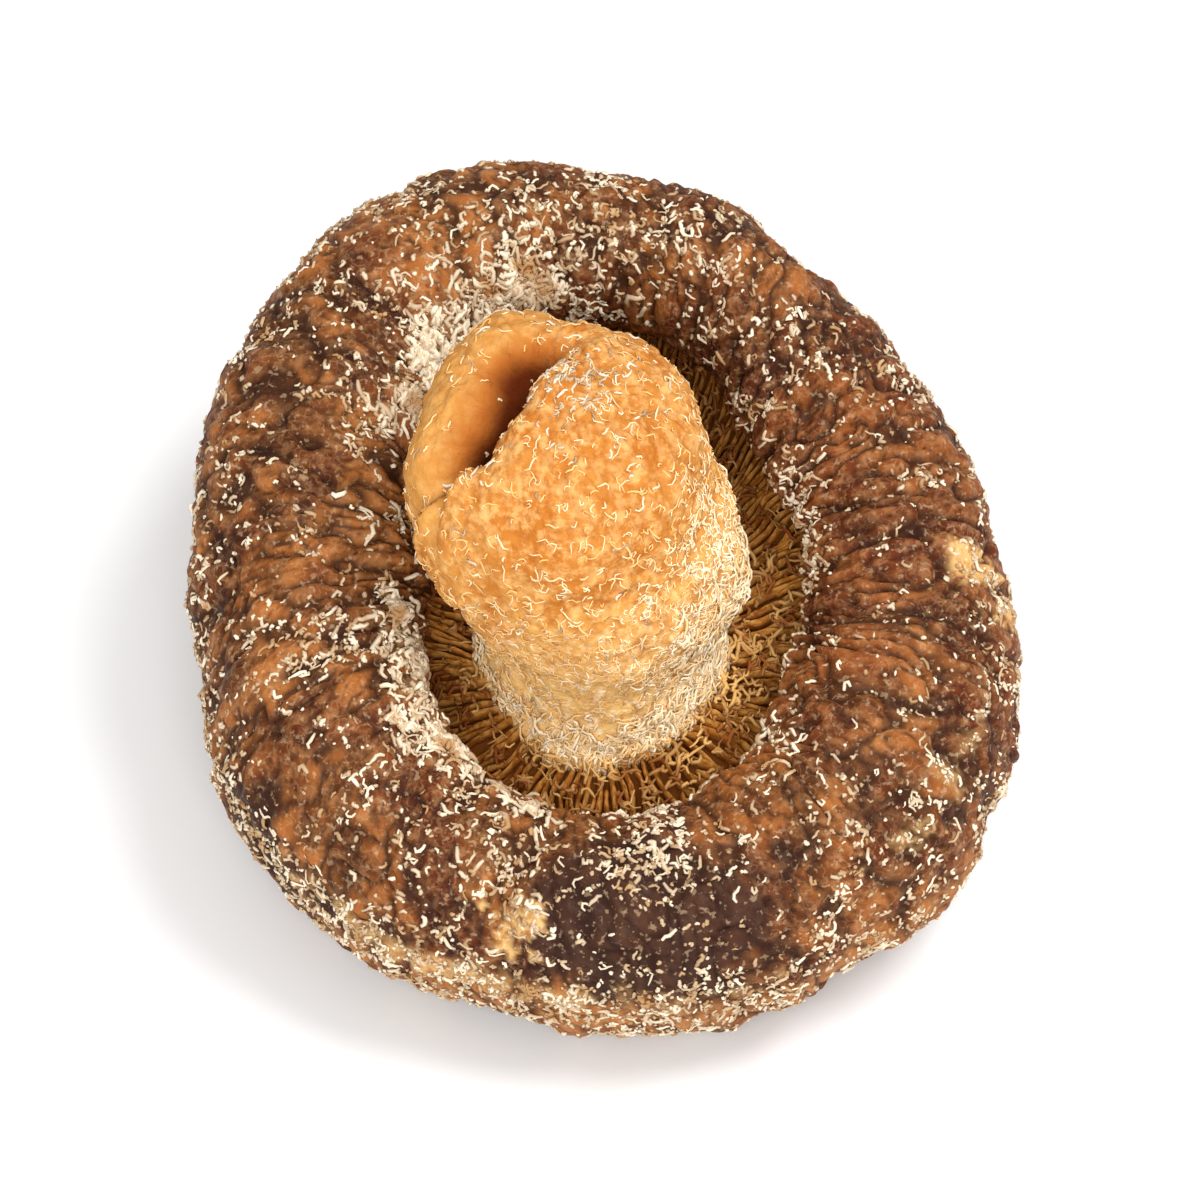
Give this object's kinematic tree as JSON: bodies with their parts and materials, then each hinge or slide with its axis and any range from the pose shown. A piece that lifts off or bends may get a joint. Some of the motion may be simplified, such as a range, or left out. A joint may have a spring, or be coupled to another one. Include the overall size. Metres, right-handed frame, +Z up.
{
  "type": "dried shiitake mushroom",
  "caption": "Whole dried shiitake mushroom lying on its cap, stem up, with a thick in-rolled rim round its gills.",
  "frame": {"origin": "on the resting surface, under the middle of the mushroom's box", "axes": "+Z up, -Y towards the lower front of the tilted cap, +X to the right seen from there"},
  "size_m": [0.0498, 0.055, 0.0352],
  "materials": {
    "dried_mushroom": "dried wrinkled brown skin with pale flecks, and a tan fibrous stem and gills"
  },
  "bodies": {
    "root": {"dried_shiitake": "dried_mushroom"}
  },
  "joints": []
}
